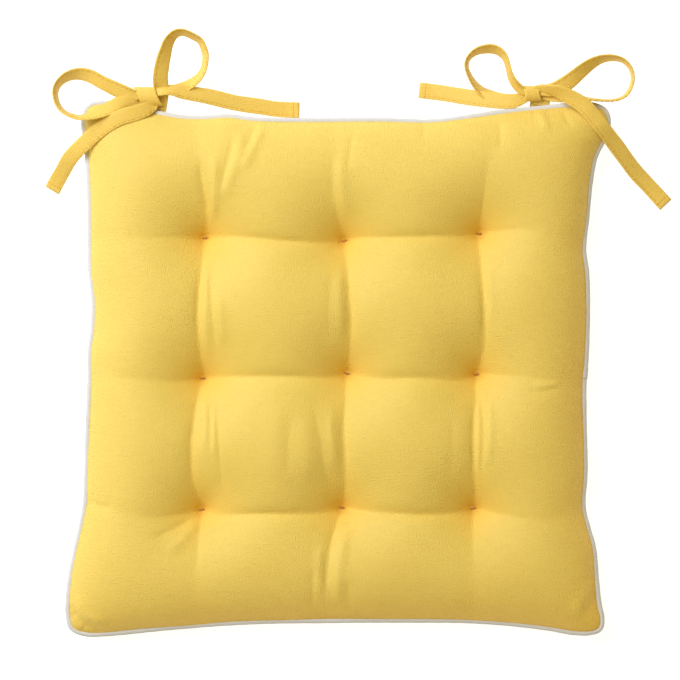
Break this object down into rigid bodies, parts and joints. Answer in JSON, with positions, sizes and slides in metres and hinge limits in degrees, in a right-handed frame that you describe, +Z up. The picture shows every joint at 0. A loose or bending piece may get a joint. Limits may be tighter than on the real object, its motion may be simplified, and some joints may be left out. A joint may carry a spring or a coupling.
{
  "type": "chair seat pad",
  "caption": "Square tufted seat pad in plain cotton with contrast piping and two tape ties at the rear, tied in bows; it lies on a chair seat and softens it.",
  "frame": {"origin": "on the surface that the pad rests on, under the middle of the pad, measured without its tape ties", "axes": "+X to the right, +Y to the rear edge that carries the ties, +Z up out of the seat"},
  "size_m": [0.4819, 0.4624, 0.0459],
  "materials": {
    "yellow_cotton": "plain-weave cotton, matt",
    "yellow_tape": "folded and top-stitched cotton, matt",
    "white_cotton": "bias-cut plain-weave cotton, matt",
    "polyester_fibre": "carded fibre",
    "cotton_cord": "twisted cord",
    "yellow_thread": "spun sewing thread"
  },
  "bodies": {
    "root": {"top_cover": "yellow_cotton", "bottom_cover": "yellow_cotton", "fibre_filling": "polyester_fibre", "piping_sleeve": "white_cotton", "piping_cord": "cotton_cord", "seam_thread": "yellow_thread", "overlock_thread": "yellow_thread", "tuft_thread_row1_column1": "yellow_thread", "tuft_thread_row1_column2": "yellow_thread", "tuft_thread_row1_column3": "yellow_thread", "tuft_thread_row2_column1": "yellow_thread", "tuft_thread_row2_column2": "yellow_thread", "tuft_thread_row2_column3": "yellow_thread", "tuft_thread_row3_column1": "yellow_thread", "tuft_thread_row3_column2": "yellow_thread", "tuft_thread_row3_column3": "yellow_thread", "left_tie_anchor": "yellow_tape", "left_tie_bartack": "yellow_thread", "left_tie_lead": "yellow_tape", "left_tie_knot": "yellow_tape", "left_tie_outer_loop": "yellow_tape", "left_tie_inner_loop": "yellow_tape", "left_tie_free_tail": "yellow_tape", "left_tie_draped_tail": "yellow_tape", "right_tie_anchor": "yellow_tape", "right_tie_bartack": "yellow_thread", "right_tie_lead": "yellow_tape", "right_tie_knot": "yellow_tape", "right_tie_outer_loop": "yellow_tape", "right_tie_inner_loop": "yellow_tape", "right_tie_free_tail": "yellow_tape", "right_tie_draped_tail": "yellow_tape"}
  },
  "joints": []
}
